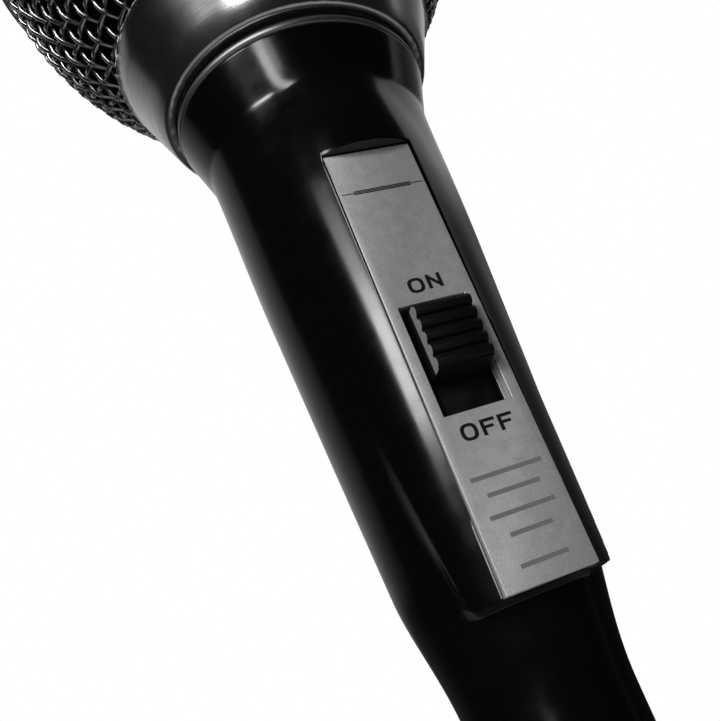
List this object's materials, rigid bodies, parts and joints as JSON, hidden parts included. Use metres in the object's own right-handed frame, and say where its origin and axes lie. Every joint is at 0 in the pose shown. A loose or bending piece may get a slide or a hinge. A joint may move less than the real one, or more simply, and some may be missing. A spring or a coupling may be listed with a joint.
{
  "type": "dynamic_microphone",
  "caption": "Hand-held dynamic microphone: black tapered handle, inlaid metal plate with a slide switch, satin conical collar and a ball grille of woven wire.",
  "frame": {"origin": "On the microphone's axis, in the straight grip that a stand clip holds, 12 mm below the grip's upper end", "axes": "+Z along the axis towards the grille, -Y out of the switch plate, +X to the right when the switch faces the viewer"},
  "size_m": [0.056, 0.056, 0.1692],
  "materials": {
    "black_enamel": "satin",
    "black_plastic": "matte",
    "knob_plastic": "satin",
    "board": "matte",
    "satin_steel": "satin",
    "bright_steel": "polished",
    "plate_aluminium": "satin",
    "wire_steel": "polished",
    "zinc": "satin",
    "brass": "satin",
    "copper": "satin",
    "ferrite": "matte",
    "rubber": "matte",
    "foam": "matte",
    "felt": "matte",
    "film": "gloss",
    "wire_sleeve": "matte"
  },
  "bodies": {
    "handle": {"handle_shell": "black_enamel", "neck_ring": "bright_steel", "end_cap": "black_plastic", "cap_screw": "zinc", "cable_gland": "rubber", "cable_clamp": "zinc", "clamp_screws": "zinc", "switch_plate": "plate_aluminium", "switch_frame": "bright_steel", "switch_screws": "zinc", "switch_base": "board", "switch_terminals": "brass", "capsule_carrier": "black_plastic", "shock_mount": "rubber", "capsule_basket": "zinc", "damping_felt": "felt", "terminal_board": "board", "capsule_terminals": "brass", "capsule_leads": "wire_sleeve", "yoke_cup": "zinc", "magnet": "ferrite", "pole_piece": "zinc", "front_plate": "zinc", "diaphragm_surround": "film", "capsule_cap": "zinc"},
    "slider": {"slider_knob": "knob_plastic", "slider_contact": "brass", "detent_balls": "bright_steel", "detent_spring": "zinc"},
    "coil": {"voice_coil": "copper", "diaphragm_dome": "film"},
    "head_thread": {"thread_ring": "zinc", "sealing_ring": "rubber"},
    "head": {"collar": "satin_steel", "grille_lower": "wire_steel", "grille_band": "satin_steel", "grille_upper": "wire_steel", "foam_liner": "foam"}
  },
  "joints": [
    {"name": "switch_slide", "type": "slide", "parent": "handle", "child": "slider", "axis": [0, 0, -1], "range_m": [0, 0.0034]},
    {"name": "head_lift", "type": "slide", "parent": "handle", "child": "head_thread", "axis": [0, 0, 1], "range_m": [0, 0.004]},
    {"name": "head_unscrew", "type": "hinge", "parent": "head_thread", "child": "head", "pos_m": [0, 0, 0.085], "axis": [0, 0, 1], "range_deg": [0, 1440]},
    {"name": "coil_travel", "type": "slide", "parent": "handle", "child": "coil", "axis": [0, 0, 1], "range_m": [-0.0002, 0.0002], "stiffness_N_per_m": 1000}
  ],
  "couplings": [
    {"joint": "head_lift", "follows": "head_unscrew", "m_per_rad": 0.00015915}
  ]
}
